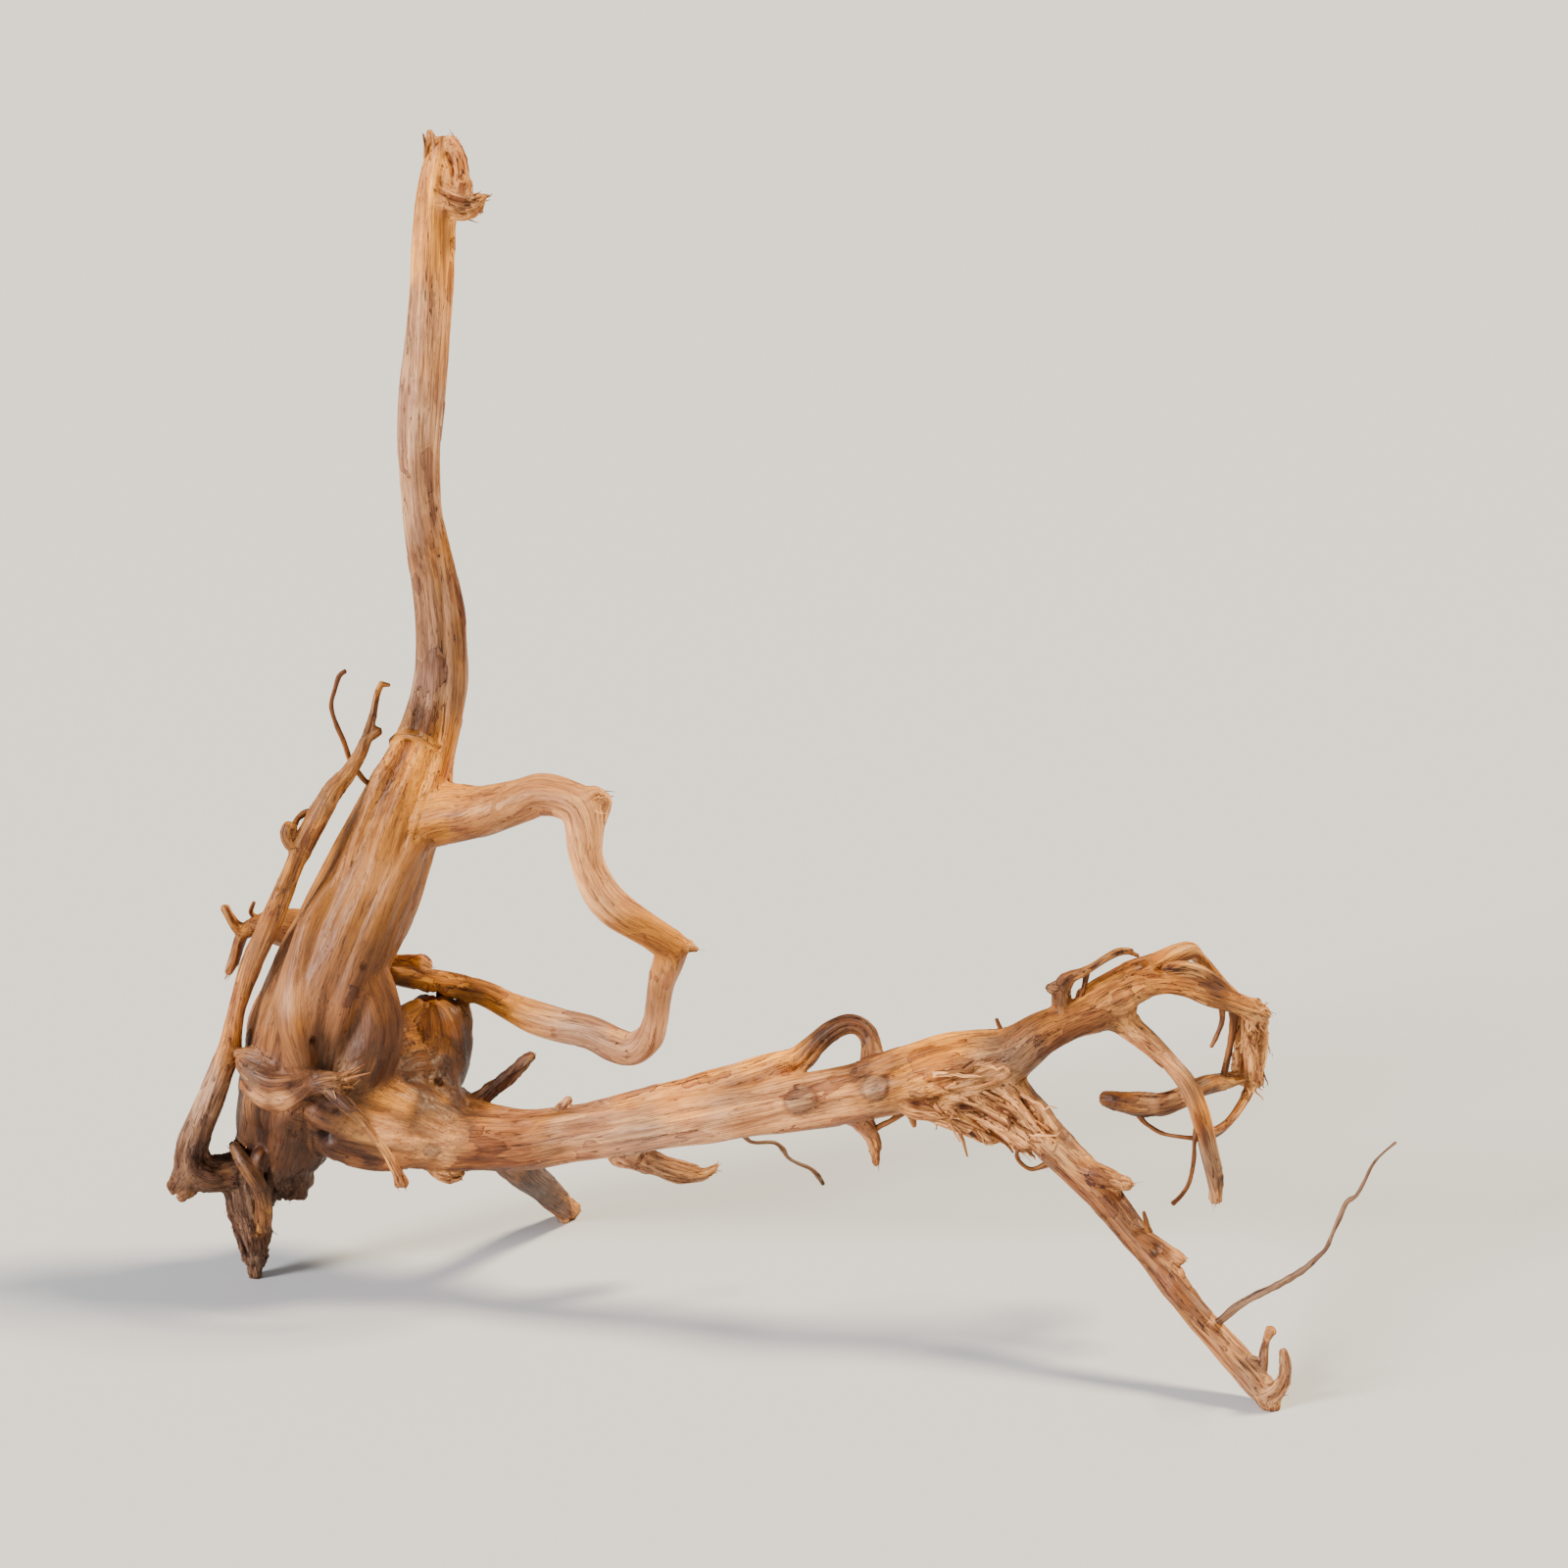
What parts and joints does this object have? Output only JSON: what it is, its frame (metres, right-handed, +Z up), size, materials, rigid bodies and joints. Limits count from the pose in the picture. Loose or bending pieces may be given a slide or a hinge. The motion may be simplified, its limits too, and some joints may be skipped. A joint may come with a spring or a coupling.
{
  "type": "bogwood",
  "caption": "Weathered, bark-stripped bogwood root: a long upright mast over a leaning trunk, an angular side loop, and a reaching arm that forks into a curled crown and a foreleg.",
  "frame": {"origin": "bottom centre of the bounding box, on the surface that the wood rests on", "axes": "+X from the trunk towards the forked end of the arm, +Y away from the viewer of the front view, +Z up along the mast"},
  "size_m": [0.7566, 0.3101, 0.7407],
  "materials": {
    "stripped_wood": "satin, streaky tan to orange-brown heartwood with grey and dark bark remains"
  },
  "bodies": {
    "root": {"bogwood": "stripped_wood"}
  },
  "joints": []
}
